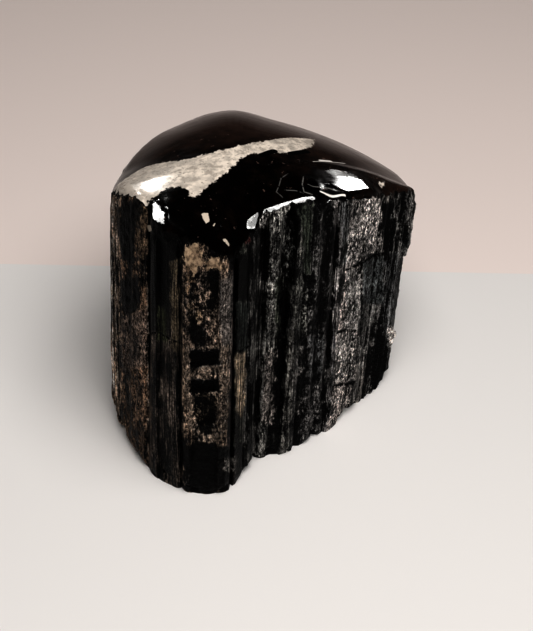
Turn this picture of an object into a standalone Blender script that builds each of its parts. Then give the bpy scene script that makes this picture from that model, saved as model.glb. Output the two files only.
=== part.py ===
"""Black tourmaline crystal: a ribbed natural prism, sawn flat below, with a polished domed top.

Plan dimensions are in millimetres: +X to the viewer's right, -Y towards the viewer, +Z up.
The crystal is one solid. Its ribbed sides are lofted between a foot outline and a top
outline, the polished dome trims them, and chips, pits and broken feet are cut out of it.
"""
import math
import random

import bmesh
import bpy
from mathutils import Matrix, Vector

NAME = "tourmaline_crystal"
METRES = 0.001

# Overall shape.
CROWN_HEIGHT = 90.6
CROWN_CENTRE = Vector((-6.0, -12.0))
CROWN_POWER = 1.85         # 2 is a paraboloid, 1 a cone
CROWN_ROUNDING = 0.35      # share of the radius over which the crown is blunted
ROLL_STEEPNESS = 0.75      # drop of the rounded rim over its width
DRIFT_HEIGHT = 85.0        # height at which the ribs have drifted by their full amount
BOX_CENTRE = Vector((0.478, 0.712))
BELOW_TABLE = 5.0          # the trimming body reaches this far under the base

# Smooth outline of the polished top, counterclockwise: x, y and height of its rim, and the
# width over which the polish rounds the rim off.
RIM = [
    (-35.8, -8.9, 79.3, 3.5), (-33.6, -14.5, 82.5, 3.5), (-25.6, -28.0, 84.0, 5.5),
    (-18.0, -33.6, 83.8, 5.5), (-12.0, -34.6, 83.6, 5.0), (-5.0, -32.6, 83.8, 4.5),
    (4.4, -23.0, 86.0, 2.5), (12.7, -15.6, 84.2, 2.2), (20.8, -8.5, 80.6, 2.2),
    (30.4, 0.0, 75.2, 2.5), (38.2, 8.0, 69.0, 2.5), (39.2, 14.5, 63.5, 3.0),
    (36.6, 25.5, 59.2, 3.5), (22.0, 31.0, 64.4, 3.5), (3.1, 33.4, 69.9, 3.5),
    (-9.7, 35.8, 71.0, 3.5), (-26.7, 28.6, 68.4, 3.5), (-36.0, 7.0, 71.6, 3.5),
]

# Foot outline of the ribs that show, from the left round the front to the right. Points
# further out are crests, points further in are grooves.
SHOWN_RIBS = [
    (-39.2, -4.2), (-38.4, -5.6), (-39.1, -7.0), (-38.1, -8.5), (-38.7, -9.8), (-37.5, -11.0),
    (-37.5, -12.3), (-35.9, -13.2), (-36.2, -14.6), (-34.9, -16.6), (-33.0, -19.0),
    (-32.4, -21.2), (-30.4, -23.9), (-28.6, -26.0), (-27.3, -26.0), (-26.6, -28.0),
    (-25.0, -29.5), (-24.2, -29.3), (-21.8, -31.4), (-20.2, -32.7), (-19.0, -33.2),
    (-18.2, -32.5), (-17.3, -34.1), (-15.9, -34.8), (-15.1, -34.1), (-12.2, -34.4),
    (-9.0, -34.0), (-8.3, -34.6), (-6.6, -34.0), (-5.6, -32.8), (-5.3, -30.6), (-4.3, -31.4),
    (-2.4, -28.6), (-2.3, -27.2), (-1.0, -26.6), (0.2, -24.2), (0.0, -22.4), (1.2, -21.0),
    (2.0, -21.9), (3.4, -21.1), (3.9, -20.0), (5.0, -19.4), (6.9, -19.2), (7.6, -19.9),
    (9.2, -19.7), (10.8, -17.9), (11.0, -15.8), (12.8, -15.2), (14.4, -14.6), (15.6, -12.2),
    (17.6, -11.8), (18.5, -9.8), (19.8, -10.3), (22.2, -7.6), (24.8, -4.8), (25.9, -4.2),
    (28.4, -0.8), (28.4, 1.0), (29.9, 1.3), (30.2, 3.0), (31.8, 3.2), (31.7, 4.9),
    (33.4, 5.1), (33.2, 6.7), (35.2, 7.0), (35.0, 8.6), (37.0, 8.6), (36.6, 10.6),
    (37.8, 11.8), (36.6, 13.8),
]

# Smooth foot outline behind, where ribs of seeded width and depth stand on it.
HIDDEN_OUTLINE = [
    (36.6, 13.8), (36.6, 19.0), (34.6, 24.8), (28.5, 28.8), (19.7, 31.0), (8.0, 32.6),
    (-3.0, 34.8), (-12.0, 36.0), (-20.5, 33.4), (-29.0, 27.3), (-34.6, 17.0), (-38.2, 6.0),
    (-39.2, -4.2),
]
HIDDEN_RIB_WIDTH = (2.6, 5.6)
HIDDEN_RIB_DEPTH = (0.5, 1.5)
HIDDEN_GROOVE_AT = 0.12    # share of a rib's width where its groove lies
HIDDEN_CREST = ((0.3, 0.15), (0.75, 0.3))    # share of its width, and how far it stands out
HIDDEN_SEED = 11

# How far the rib tops drift from their feet along X and Y, by the x of the foot.
DRIFT = [
    (-40.0, 2.9, 0.0), (-35.0, 2.7, 0.0), (-28.6, 2.6, 3.0), (-27.3, 2.4, 3.6),
    (-26.6, 2.0, 0.0), (-18.0, 0.2, 0.0), (1.6, 0.0, 0.0), (2.2, 1.9, 0.0), (3.6, 1.9, 0.0),
    (4.0, 1.9, 1.6), (7.0, 0.2, 2.2), (7.4, 0.0, 0.0), (20.0, 0.3, 0.0), (29.0, 1.7, 0.0),
    (38.0, 2.8, 0.0),
]

# Heights at which the side is faceted, and how much the facets wander there.
LEVELS = [0.0, 3.5, 11.0, 14.0, 30.0, 46.0, 60.0, 74.0, 100.0]
WANDER = 0.22
FOOT_LEDGE_SPAN = (12.0, 23.5)     # between these x the foot stands out as a ledge
FOOT_LEDGE_TOP = 12.0
FOOT_LEDGE_DEPTH = 0.7

# The polished skin is spun from rings at these shares of the rim radius.
SKIN_RINGS = [0.0, 0.14, 0.28, 0.42, 0.55, 0.67, 0.77, 0.85, 0.9, 0.94, 0.97, 0.988, 1.0, 1.1]
SKIN_SPOKES = 84

# Broken places: centre x, y, z, then half sizes along, across and up, then a turn in
# degrees about Z and a tip in degrees about the turned X axis.
CHIPS = {
    "chip_corner": ((-27.0, -25.6, 85.0), (1.7, 1.5, 2.4), 40.0, -30.0),
    "chip_lobe_left": ((-12.4, -28.2, 89.6), (1.5, 1.9, 1.5), 12.0, -12.0),
    "chip_lobe_right": ((-7.2, -33.0, 86.8), (1.3, 2.0, 1.8), -25.0, -30.0),
    "chip_notch": ((-2.2, -28.4, 88.4), (1.9, 2.2, 2.4), -50.0, -28.0),
    "chip_rim_middle": ((6.4, -20.4, 86.8), (1.5, 1.6, 2.0), -20.0, -10.0),
    "chip_rim_right": ((17.2, -11.6, 83.4), (1.9, 1.6, 1.8), -44.0, -25.0),
    "chip_far_right": ((38.6, 7.0, 68.6), (2.2, 1.6, 2.4), -40.0, -12.0),
    "chip_back": ((-22.4, 31.2, 70.0), (4.0, 2.6, 3.6), 140.0, -20.0),
}
PITS = {
    "ladder_pit_top": ((-12.9, -35.0, 49.4), (3.7, 1.9, 2.9), 0.0, 0.0),
    "ladder_pit_middle": ((-12.7, -35.0, 40.2), (3.5, 1.8, 2.3), 2.0, 4.0),
    "ladder_pit_bottom": ((-12.5, -35.1, 31.6), (3.0, 1.9, 4.9), 0.0, 0.0),
    "slot": ((-0.4, -26.4, 25.0), (1.2, 1.1, 9.5), -60.0, 0.0),
    "step_right_upper": ((39.1, 11.4, 22.5), (4.6, 1.5, 26.0), 70.0, 0.0),
    "step_right_lower": ((38.0, 8.6, 6.0), (3.2, 1.3, 22.0), 62.0, 0.0),
}
FEET = {
    "foot_far_left": ((-39.2, -10.6, 0.0), (4.8, 3.2, 13.4), 64.0, 0.0),
    "foot_far_left_inner": ((-40.8, -2.6, 0.0), (6.6, 3.8, 12.8), 88.0, 0.0),
    "foot_far_left_back": ((-40.4, 6.4, 0.0), (6.6, 3.0, 9.6), 90.0, 0.0),
    "foot_left": ((-36.4, -16.6, 0.0), (5.0, 3.2, 9.4), 58.0, 0.0),
    "foot_left_front": ((-32.0, -24.6, -0.4), (5.0, 3.0, 5.4), 55.0, 0.0),
    "foot_front": ((-21.4, -35.6, -0.6), (5.0, 1.9, 2.6), 35.0, 0.0),
    "foot_lobe": ((-12.0, -36.8, -0.8), (7.4, 2.4, 2.8), 0.0, 0.0),
    "foot_notch": ((-0.4, -30.4, -0.8), (3.0, 2.2, 3.2), -60.0, 0.0),
    "foot_slot": ((-0.8, -21.8, -0.8), (2.2, 1.8, 4.2), 35.0, 0.0),
    "foot_right_front": ((18.4, -15.0, -0.8), (5.0, 2.8, 3.6), -44.0, 0.0),
    "foot_right": ((27.4, -5.2, -0.5), (5.6, 3.2, 6.2), -48.0, 0.0),
    "foot_right_outer": ((33.6, 1.6, -0.5), (3.6, 2.2, 5.4), -48.0, 0.0),
    "foot_far_right": ((38.2, 7.6, -0.5), (4.0, 2.4, 8.0), -50.0, 0.0),
    "foot_back_right": ((33.0, 30.0, -0.5), (6.0, 3.4, 5.4), 35.0, 0.0),
    "foot_back": ((2.0, 37.0, -0.5), (8.0, 3.6, 4.4), 8.0, 0.0),
    "foot_back_left": ((-34.6, 25.6, -0.5), (6.4, 3.4, 5.0), 130.0, 0.0),
}
CHIP_DETAIL = 2
PIT_CORNER = 0.35          # share of a pit's half size that its rounded edges take
PALE_GRAINS = {
    "pale_grain_upper": ((37.4, 12.6, 16.6), 1.6),
    "pale_grain_lower": ((37.0, 12.6, 13.9), 1.3),
}
GRAIN_DETAIL = 2

BLACK = (0.012, 0.010, 0.010, 1.0)
ROUGHNESS = 0.28


def drift_at(x):
    """Full drift of a rib top whose foot is at x, from the table of drifts."""
    if x <= DRIFT[0][0]:
        return Vector(DRIFT[0][1:])
    for (x0, *low), (x1, *high) in zip(DRIFT, DRIFT[1:]):
        if x <= x1:
            return Vector(low).lerp(Vector(high), (x - x0) / (x1 - x0))
    return Vector(DRIFT[-1][1:])


def closed_curve(knots, values):
    """Smooth periodic function of an angle through the given knots."""
    order = sorted(range(len(knots)), key=lambda i: knots[i])
    k = [knots[i] for i in order]
    v = [values[i] for i in order]
    n = len(k)
    k = [k[-2] - math.tau, k[-1] - math.tau] + k + [k[0] + math.tau, k[1] + math.tau]
    v = [v[-2], v[-1]] + v + [v[0], v[1]]
    slope = [(v[i + 1] - v[i - 1]) / (k[i + 1] - k[i - 1]) for i in range(1, n + 3)]

    def value(angle):
        a = (angle - k[1]) % math.tau + k[1]
        i = next(j for j in range(1, n + 2) if a <= k[j + 1])
        h = k[i + 1] - k[i]
        t = (a - k[i]) / h
        return (
            (2 * t ** 3 - 3 * t ** 2 + 1) * v[i]
            + (t ** 3 - 2 * t ** 2 + t) * h * slope[i - 1]
            + (3 * t ** 2 - 2 * t ** 3) * v[i + 1]
            + (t ** 3 - t ** 2) * h * slope[i]
        )

    return value


RIM_ARMS = [Vector((x, y)) - CROWN_CENTRE for x, y, _, _ in RIM]
RIM_ANGLES = [math.atan2(arm.y, arm.x) for arm in RIM_ARMS]
rim_radius = closed_curve(RIM_ANGLES, [arm.length for arm in RIM_ARMS])
rim_height = closed_curve(RIM_ANGLES, [z for _, _, z, _ in RIM])
roll_width = closed_curve(RIM_ANGLES, [width for _, _, _, width in RIM])


def crown_fall(share):
    """0 at the crown and 1 at the rim, with a blunted crown."""
    blunt = CROWN_ROUNDING ** 2
    low = blunt ** (CROWN_POWER / 2)
    high = (1.0 + blunt) ** (CROWN_POWER / 2)
    return ((share ** 2 + blunt) ** (CROWN_POWER / 2) - low) / (high - low)


def skin_point(angle, share):
    """Point of the polished skin at a share of the way from the crown to its rim."""
    reach = rim_radius(angle)
    width = roll_width(angle)
    shoulder = rim_height(angle) + ROLL_STEEPNESS * width
    outward = min(max(1.0 - (1.0 - share) * reach / width, 0.0), 1.0)
    roll = ROLL_STEEPNESS * width * (1.0 - math.sqrt(1.0 - outward ** 2))
    height = shoulder + (CROWN_HEIGHT - shoulder) * (1.0 - crown_fall(share)) - roll
    x = CROWN_CENTRE.x + share * reach * math.cos(angle)
    y = CROWN_CENTRE.y + share * reach * math.sin(angle)
    return Vector((x, y, height))


def hidden_ribs():
    """Crest and groove points of seeded width and depth along the hidden outline."""
    rng = random.Random(HIDDEN_SEED)
    points = []
    for start, end in zip(HIDDEN_OUTLINE, HIDDEN_OUTLINE[1:]):
        a = Vector(start)
        run = Vector(end) - a
        outward = Vector((run.y, -run.x)).normalized()
        done = 0.0
        while run.length - done > HIDDEN_RIB_WIDTH[0]:
            width = min(rng.uniform(*HIDDEN_RIB_WIDTH), run.length - done)
            depth = rng.uniform(*HIDDEN_RIB_DEPTH)
            for share, out in ((HIDDEN_GROOVE_AT, -depth), *HIDDEN_CREST):
                point = a + run.normalized() * (done + share * width) + outward * out
                points.append((point.x, point.y))
            done += width
    return points[1:]


def ledge_push(x, y, z):
    """How far the foot ledge stands out of the side at a front point."""
    inside = FOOT_LEDGE_SPAN[0] < x < FOOT_LEDGE_SPAN[1] and y < 0.0
    return FOOT_LEDGE_DEPTH if inside and z < FOOT_LEDGE_TOP else 0.0


def side_section(foot, level, rng):
    """The rib outline at a height, drifted along X and with its facets wandering."""
    z = LEVELS[level]
    rise = min(z / DRIFT_HEIGHT, 1.0)
    ring = []
    for x, y in foot:
        drift = drift_at(x) * rise
        if y > 0.0:
            drift.y = 0.0
        wander = ledge_push(x, y, z) + rng.uniform(-WANDER, WANDER)
        point = Vector((x, y)) + drift + Vector((x, y)).normalized() * wander
        ring.append(Vector((point.x, point.y, z)))
    return ring


def ribbed_prism():
    """Loft of the rib outline from the foot to above the dome."""
    rng = random.Random(HIDDEN_SEED)
    foot = SHOWN_RIBS + hidden_ribs()
    bm = bmesh.new()
    rings = []
    for level in range(len(LEVELS)):
        rings.append([bm.verts.new(point) for point in side_section(foot, level, rng)])
    for lower, upper in zip(rings, rings[1:]):
        for i in range(len(foot)):
            bm.faces.new((lower[i - 1], lower[i], upper[i], upper[i - 1]))
    bm.faces.new(reversed(rings[0]))
    bm.faces.new(rings[-1])
    return bm


def polished_body():
    """The dome's skin, spun ring by ring, carried straight down past the base."""
    bm = bmesh.new()
    profile = [bm.verts.new((share, 0.0, 0.0)) for share in SKIN_RINGS]
    edges = [bm.edges.new(pair) for pair in zip(profile, profile[1:])]
    bmesh.ops.spin(
        bm, geom=profile + edges, axis=(0.0, 0.0, 1.0), cent=(0.0, 0.0, 0.0),
        angle=math.tau, steps=SKIN_SPOKES, use_duplicate=False,
    )
    bmesh.ops.remove_doubles(bm, verts=bm.verts, dist=0.0001)
    for vert in bm.verts:
        vert.co = skin_point(math.atan2(vert.co.y, vert.co.x), vert.co.xy.length)
    hem = [edge for edge in bm.edges if edge.is_boundary]
    skirt = bmesh.ops.extrude_edge_only(bm, edges=hem)["geom"]
    for vert in skirt:
        if isinstance(vert, bmesh.types.BMVert):
            vert.co.z = -BELOW_TABLE
    bmesh.ops.holes_fill(bm, edges=[edge for edge in bm.edges if edge.is_boundary], sides=0)
    bmesh.ops.recalc_face_normals(bm, faces=bm.faces)
    return bm


def placed(bm, centre, half_sizes, turn, tip):
    """Size, tip, turn and move a unit shape to its place."""
    scale = Matrix.Diagonal((*half_sizes, 1.0))
    tipped = Matrix.Rotation(math.radians(tip), 4, "X")
    turned = Matrix.Rotation(math.radians(turn), 4, "Z")
    bm.transform(Matrix.Translation(centre) @ turned @ tipped @ scale)
    return bm


def chip(centre, half_sizes, turn, tip):
    """A faceted lump that leaves a few flat broken faces."""
    bm = bmesh.new()
    bmesh.ops.create_icosphere(bm, subdivisions=CHIP_DETAIL, radius=1.0)
    return placed(bm, centre, half_sizes, turn, tip)


def pit(centre, half_sizes, turn, tip):
    """A block with rounded upright edges."""
    bm = bmesh.new()
    bmesh.ops.create_cube(bm, size=2.0)
    bmesh.ops.bevel(
        bm, geom=list(bm.edges), offset=PIT_CORNER, segments=2, profile=0.5, affect="EDGES",
    )
    return placed(bm, centre, half_sizes, turn, tip)


def pale_grain(centre, radius):
    """A small lump of the paler mineral, grown on the side."""
    bm = bmesh.new()
    bmesh.ops.create_icosphere(bm, subdivisions=GRAIN_DETAIL, radius=radius)
    bm.transform(Matrix.Translation(centre))
    return bm


def to_object(bm, name, collection):
    """Centre the shape on the origin, turn it to metres and link it."""
    bm.transform(Matrix.Scale(METRES, 4) @ Matrix.Translation((*-BOX_CENTRE, 0.0)))
    mesh = bpy.data.meshes.new(name)
    bm.to_mesh(mesh)
    bm.free()
    obj = bpy.data.objects.new(name, mesh)
    collection.objects.link(obj)
    return obj


def new_collection(name):
    collection = bpy.data.collections.new(name)
    bpy.context.scene.collection.children.link(collection)
    return collection


def add_boolean(body, name, operation, tools):
    """Cut, trim or join the body with every object of a collection."""
    modifier = body.modifiers.new(name, "BOOLEAN")
    modifier.solver = "EXACT"
    modifier.operation = operation
    modifier.operand_type = "COLLECTION"
    modifier.collection = tools


def black_material():
    material = bpy.data.materials.new("black_tourmaline")
    material.use_nodes = True
    shader = material.node_tree.nodes["Principled BSDF"]
    shader.inputs["Base Color"].default_value = BLACK
    shader.inputs["Roughness"].default_value = ROUGHNESS
    shader.inputs["Metallic"].default_value = 0.0
    return material


def build():
    for obj in list(bpy.data.objects):
        bpy.data.objects.remove(obj)
    crystal = to_object(ribbed_prism(), NAME, new_collection(NAME))
    crystal.data.materials.append(black_material())

    dome = new_collection("dome_trim")
    breaks = new_collection("breaks")
    grains = new_collection("grains")
    tools = [to_object(polished_body(), "polished_body", dome)]
    for name, place in {**CHIPS, **FEET}.items():
        tools.append(to_object(chip(*place), name, breaks))
    for name, place in PITS.items():
        tools.append(to_object(pit(*place), name, breaks))
    for name, place in PALE_GRAINS.items():
        tools.append(to_object(pale_grain(*place), name, grains))
    for tool in tools:
        tool.hide_render = True
        tool.display_type = "WIRE"

    add_boolean(crystal, "trim_to_dome", "INTERSECT", dome)
    add_boolean(crystal, "cut_breaks", "DIFFERENCE", breaks)
    add_boolean(crystal, "join_grains", "UNION", grains)


build()
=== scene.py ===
"""Looks of a black tourmaline crystal with ribbed natural sides and a polished dome.

Everything is worked out in millimetres in the shared frame (+X right, -Y towards the
viewer, +Z up) and written to the mesh in metres. The crystal's fine mesh takes its ribs,
pits and feet from the CAD node and adds what is too small for CAD.
"""

import math

import bpy
import numpy as np
from mathutils import Matrix, Vector
from mathutils.bvhtree import BVHTree


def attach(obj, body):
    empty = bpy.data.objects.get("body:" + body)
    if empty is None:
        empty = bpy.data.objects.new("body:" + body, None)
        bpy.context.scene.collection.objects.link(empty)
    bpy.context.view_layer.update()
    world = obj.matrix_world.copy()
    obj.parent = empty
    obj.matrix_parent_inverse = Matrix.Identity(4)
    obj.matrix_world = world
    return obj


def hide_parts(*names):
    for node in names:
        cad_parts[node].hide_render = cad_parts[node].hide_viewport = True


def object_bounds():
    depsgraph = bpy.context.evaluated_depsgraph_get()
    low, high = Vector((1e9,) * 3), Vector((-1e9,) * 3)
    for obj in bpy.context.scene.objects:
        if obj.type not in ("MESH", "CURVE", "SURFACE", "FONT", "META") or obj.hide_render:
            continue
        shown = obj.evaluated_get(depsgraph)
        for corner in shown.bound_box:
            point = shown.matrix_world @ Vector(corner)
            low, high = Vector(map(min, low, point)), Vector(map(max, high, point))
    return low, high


NODE = "tourmaline_crystal"
METRES = 0.001

# Camera, as measured from the photo.
CAMERA_PLACE = (2.022, -291.712, 303.9)
CAMERA_PITCH = 42.92
CAMERA_ROLL = -2.33
FOCAL_PIXELS = 1500.0
PHOTO_WIDTH, PHOTO_HEIGHT = 533.0, 631.0
SENSOR = 36.0

# Light that falls on the scene: the window's place, aim, size and power, and the faint
# light from all round.
WARM = (1.0, 0.975, 0.955)
WHITE = (1.0, 0.99, 0.97)
WINDOW = ((80.0, -230.0, 620.0), (0.0, 0.0, 0.0), (420.0, 380.0), 5.6)
WORLD_COLOR = (0.9, 0.88, 0.86, 1.0)
WORLD_STRENGTH = 0.06
GAMMA = 0.7

# Floor: how far it reaches, where its two tones meet behind the crystal, and by how many
# degrees that line is turned.
FLOOR_HALF = 900.0
FLOOR_LINE = 56.1
FLOOR_LINE_TURN = 1.9
NEAR_TONE = (0.735, 0.722, 0.71)
FAR_TONE = (0.78, 0.707, 0.675)

# Lamps that show only as reflections in the polish: photo pixel of the reflection, how far
# off the lamp hangs, its size and its power. The slope of the polish there gives its place.
SPOT_PROBES = [(0, 0), (2, 0), (-2, 0), (0, 2), (0, -2)]
LAMPS = [
    ("lamp_streak", (355, 189), 90.0, (22.0, 5.5), 0.4),
    ("lamp_streak_glow", (338, 183), 90.0, (36.0, 10.0), 0.075),
    ("lamp_vein", (150, 185), 62.0, (9.0, 8.0), 0.05),
]

# Small flat faces of the polish, each with a lamp that it mirrors: outline in photo pixels,
# how steeply it rises to the right and to the back, the lamp's size and power.
FACET_LAMP_DISTANCE = 400.0
FACETS = [
    ("c_window", [(149, 208), (157, 201), (167, 209), (166, 227), (151, 226)], 0.55, 0.43,
     (38.0, 38.0), 2.0),
]

# Cleavage faces finer than the mesh, given the same way: the shading tilts them.
FLAKES = [
    ("corner", [(246, 229), (247, 220), (260, 210), (255, 229)], -0.5, 0.9,
     (24.0, 24.0), 1.1),
    ("rim_strip",
     [(262, 213), (264, 209), (285, 202), (303, 197), (313, 196), (317, 199), (308, 203),
      (299, 203), (292, 206), (283, 207), (277, 211), (266, 215)], -0.6, 0.6,
     (24.0, 24.0), 1.1),
]

# Where the rim is rubbed dull, so that it stays black: outlines in photo pixels.
DULL = [
    [(188, 222), (203, 228), (218, 228), (226, 214), (236, 202), (252, 192), (272, 184),
     (296, 174), (318, 180), (326, 193), (322, 203), (300, 200), (284, 206), (262, 217),
     (258, 232), (236, 256), (214, 252), (196, 243), (186, 238)],
]

# Fine cracks and a thin sliver that look pale on the polish, and two dark notches in the
# vein's lower edge: course in photo pixels, half width and paleness. The fine cracks that
# are narrower and darker than the two limits come broken into stretches.
BROKEN_WIDTH = 0.12
BROKEN_PALENESS = 0.5
POLISH_CRACKS = [
    ([(287.8, 173.8), (281.1, 178.1), (279.2, 185.3), (276.3, 192.0), (282.6, 197.3)], 0.07, 0.1),
    ([(303.6, 176.7), (302.2, 184.4), (304.1, 192.0), (312.2, 194.5)], 0.1, 0.16),
    ([(285.0, 190.1), (295.5, 190.6), (303.1, 193.0)], 0.07, 0.12),
    ([(308.0, 184.4), (314.6, 186.7), (329.0, 188.2), (343.0, 191.5)], 0.07, 0.16),
    ([(320.4, 191.5), (330.9, 196.0), (345.0, 195.2)], 0.16, 0.8),
    ([(313.0, 161.5), (320.0, 161.5), (345.0, 163.5)], 0.1, 0.6),
    ([(320.5, 160.5), (331.0, 161.5)], 0.42, 0.66),
    ([(262.0, 155.0), (274.0, 151.0)], 0.9, 0.001),
    ([(291.0, 153.5), (307.0, 151.5)], 0.85, 0.001),
]

# Parts of the polish that are ground flat where they lie: outlines in photo pixels.
FLATS = [
    [(327, 184), (340, 179), (354, 177), (364, 180), (372, 190), (356, 191), (340, 190)],
]
FACET_EDGE = (-1.2, 0.6)  # pixels outside and inside its outline where a facet sets in

# Polished dome. Rim: x, y, height, width of the rounded rim.
BOX_CENTRE = (0.478, 0.712)
CROWN_CENTRE = (-6.0 - BOX_CENTRE[0], -12.0 - BOX_CENTRE[1])
CROWN_HEIGHT = 90.6
CROWN_POWER = 1.85
CROWN_ROUNDING = 0.35
ROLL_STEEPNESS = 0.75
RIM = [
    (-35.8, -8.9, 79.3, 3.5), (-33.6, -14.5, 82.5, 3.5), (-25.6, -28.0, 84.0, 5.5),
    (-18.0, -33.6, 83.8, 5.5), (-12.0, -34.6, 83.6, 5.0), (-5.0, -32.6, 83.8, 4.5),
    (4.4, -23.0, 86.0, 2.5), (12.7, -15.6, 84.2, 2.2), (20.8, -8.5, 80.6, 2.2),
    (30.4, 0.0, 75.2, 2.5), (38.2, 8.0, 69.0, 2.5), (39.2, 14.5, 63.5, 3.0),
    (36.6, 25.5, 59.2, 3.5), (22.0, 31.0, 64.4, 3.5), (3.1, 33.4, 69.9, 3.5),
    (-9.7, 35.8, 71.0, 3.5), (-26.7, 28.6, 68.4, 3.5), (-36.0, 7.0, 71.6, 3.5),
]

# Fine mesh: columns run up the side from the foot and on over the dome to its crown.
AXIS = (-12.0, 5.0)  # the upright line that the columns look out from
FRONT_COLUMNS = 430
BACK_COLUMNS = 130
SIDE_ROWS = 138
DOME_ROWS = 30
FRONT_FROM, FRONT_TO = -165.0, 12.0  # bearings about the axis between which it is seen
FRONT_BLEND = 6  # columns over which what only the front has fades out
OUTLINE_SAMPLES = 2880  # bearings at which the outline is measured
OUTLINE_HEIGHT = 52.8
LONGEST_STEP = 0.6  # longest step along the outline that counts in full
HEIGHT_RANGE = (0.05, 92.0)  # heights at which the CAD side is measured
HEIGHT_STEP = 0.5
SKIN_CLEARANCE = 0.9  # how far under the skin the CAD side is still followed
RIM_STEP = 0.35  # least distance between the dome's rows
DOME_SPREAD = 2.6  # how strongly those rows draw apart towards the crown
CROWN_GAP = 0.6  # rows left free around the crown point
BASE_RING = 0.6  # share of the foot's reach where the base has a ring of points
EDGE_ROLL_WIDTH = 2.0
EDGE_ROLL_DROP = 0.7
EDGE_ROLL_POWER = 2.2
RIM_SMOOTHING = 5  # columns on each side over which the polish evens out its rim
RIM_FILL = 0.85  # share of the grooves and ribs that the polish evens out at its rim
RIM_FILL_DEPTH = 3.0
RIM_FILL_WINDOW = 9
FOOT_WEAR = 0.85  # share of the ribs that is worn off at the very foot
FOOT_WEAR_HEIGHT = 4.0
FOOT_SMOOTHNESS = 0.8  # share of the fine relief that is worn off with them
FOOT_WINDOW = 16
CREST_WINDOW = 7  # columns on each side that a crest is measured against
# Painted light and shade on the ribs: pale grain is added where a column stands out and taken away in
# the grooves between.
CREST_RELIEF = 0.45
CREST_LIGHT_AND_GROOVE_SHADE = 0.34
CRACK_DEPTH = 0.35

# Fine relief of the sides. Upright striae and cleavage steps: strength, width along the
# outline, height and seed.
STRIAE = [(0.55, 0.5, 40.0, 1), (0.8, 1.0, 50.0, 2), (0.9, 2.1, 60.0, 3)]
STEPS = [(0.7, 1.3, 16.0, 12), (0.3, 0.7, 7.0, 17)]
STEP_SHARE = 0.6

# Low swellings of the polished rim over its thickest rods: plan place, radius and height.
LOBES = [
    (-23.4, -26.2, 4.6, 0.75), (-12.8, -30.6, 3.6, 0.55),
]

# Where the polish ends above the ribs, traced in photo pixels from left to right.
POLISH_LINE = [
    (108, 196), (114, 196), (121, 197), (132, 198), (142, 201), (148, 214), (152, 229), (160, 234),
    (172, 239), (182, 243), (196, 243), (205, 245), (213, 255), (224, 260), (232, 262), (238, 254),
    (243, 246), (248, 241), (254, 234), (259, 227), (262, 219), (266, 214), (277, 212), (285, 209),
    (300, 206), (312, 203), (325, 203), (345, 201), (365, 200), (385, 197), (405, 192), (414, 194),
]
LINE_SHIFT = (-3.5, 6.0)  # least and most that the rim is lowered to meet that line
LINE_ROUNDS = 3
LINE_SMOOTHING = 7  # columns on each side over which the lowering is evened out
LINE_REACH = 6.0  # how far in from the rim the polish bends to meet it
PIXELS_PER_RISE = 2.8  # photo pixels by which a point moves when it rises by 1 mm
SINK_SOFTNESS = 0.8  # evens out the lowering between columns

# Flat bevels that the polish ground along the rim: the ends of each bevel's outer line in
# plan, going right, its width and how steeply it falls outwards.
BEVELS = [
    ((-1.0, -23.9), (12.6, -15.4), 2.4, 0.12),
    ((12.0, -13.4), (30.0, -1.2), 5.2, 0.1),
]
BEVEL_START = 0.4  # how far inside its ends a bevel begins to fade
BEVEL_END = 0.8  # how far past them it is gone
BEVEL_OVERHANG = 2.0

# Rib bands of the natural side, from the left round the front to the right. Each row: its
# left edge in x at the top and at the foot, how much pale grain covers it at the top and at
# the foot, the grain's colour, how far the grain is drawn out upright (0 to 1), and the
# depth of its roughness and of its upright striae.
BAND_TOP = 80.0
BAND_FOOT = 8.0
BANDS = [
    (-60.0, -60.0, 0.42, 0.4, (0.17, 0.13, 0.1), 0.9, 0.04, 0.16),
    (-33.3, -35.8, 0.3, 0.5, (0.11, 0.075, 0.052), 0.35, 0.16, 0.1),
    (-26.2, -28.0, 0.12, 0.42, (0.055, 0.045, 0.038), 1.0, 0.02, 0.07),
    (-17.7, -18.4, 0.4, 0.0, (0.16, 0.12, 0.09), 0.2, 0.12, 0.03),
    (-6.9, -6.5, 0.05, 0.05, (0.05, 0.04, 0.04), 1.0, 0.05, 0.05),
    (-5.4, -5.4, 0.22, 0.3, (0.05, 0.05, 0.043), 1.0, 0.02, 0.03),
    (-2.9, -2.9, 0.34, 0.42, (0.075, 0.072, 0.068), 0.9, 0.06, 0.14),
    (2.0, 0.8, 0.42, 0.42, (0.17, 0.165, 0.155), 0.5, 0.16, 0.12),
    (5.9, 4.0, 0.0, 0.0, (0.06, 0.06, 0.055), 0.9, 0.1, 0.12),
    (7.6, 7.0, 0.26, 0.26, (0.13, 0.125, 0.115), 0.6, 0.12, 0.14),
    (10.3, 10.0, 0.06, 0.16, (0.075, 0.072, 0.07), 0.4, 0.14, 0.12),
    (17.3, 18.0, 0.2, 0.26, (0.16, 0.15, 0.145), 0.8, 0.06, 0.12),
    (21.5, 20.3, 0.62, 0.62, (0.26, 0.235, 0.22), 0.15, 0.1, 0.05),
    (28.4, 26.2, 0.36, 0.4, (0.15, 0.14, 0.13), 0.9, 0.08, 0.16),
    (31.8, 30.4, 0.28, 0.3, (0.13, 0.125, 0.12), 0.6, 0.16, 0.16),
]

# Columns of the array that band_values gives for the side.
GRAIN, TINT, DRAWN, ROUGH, STRIA, CUT = 0, slice(1, 4), 4, 5, 6, 7
SIDE_VALUES = 8

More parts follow.
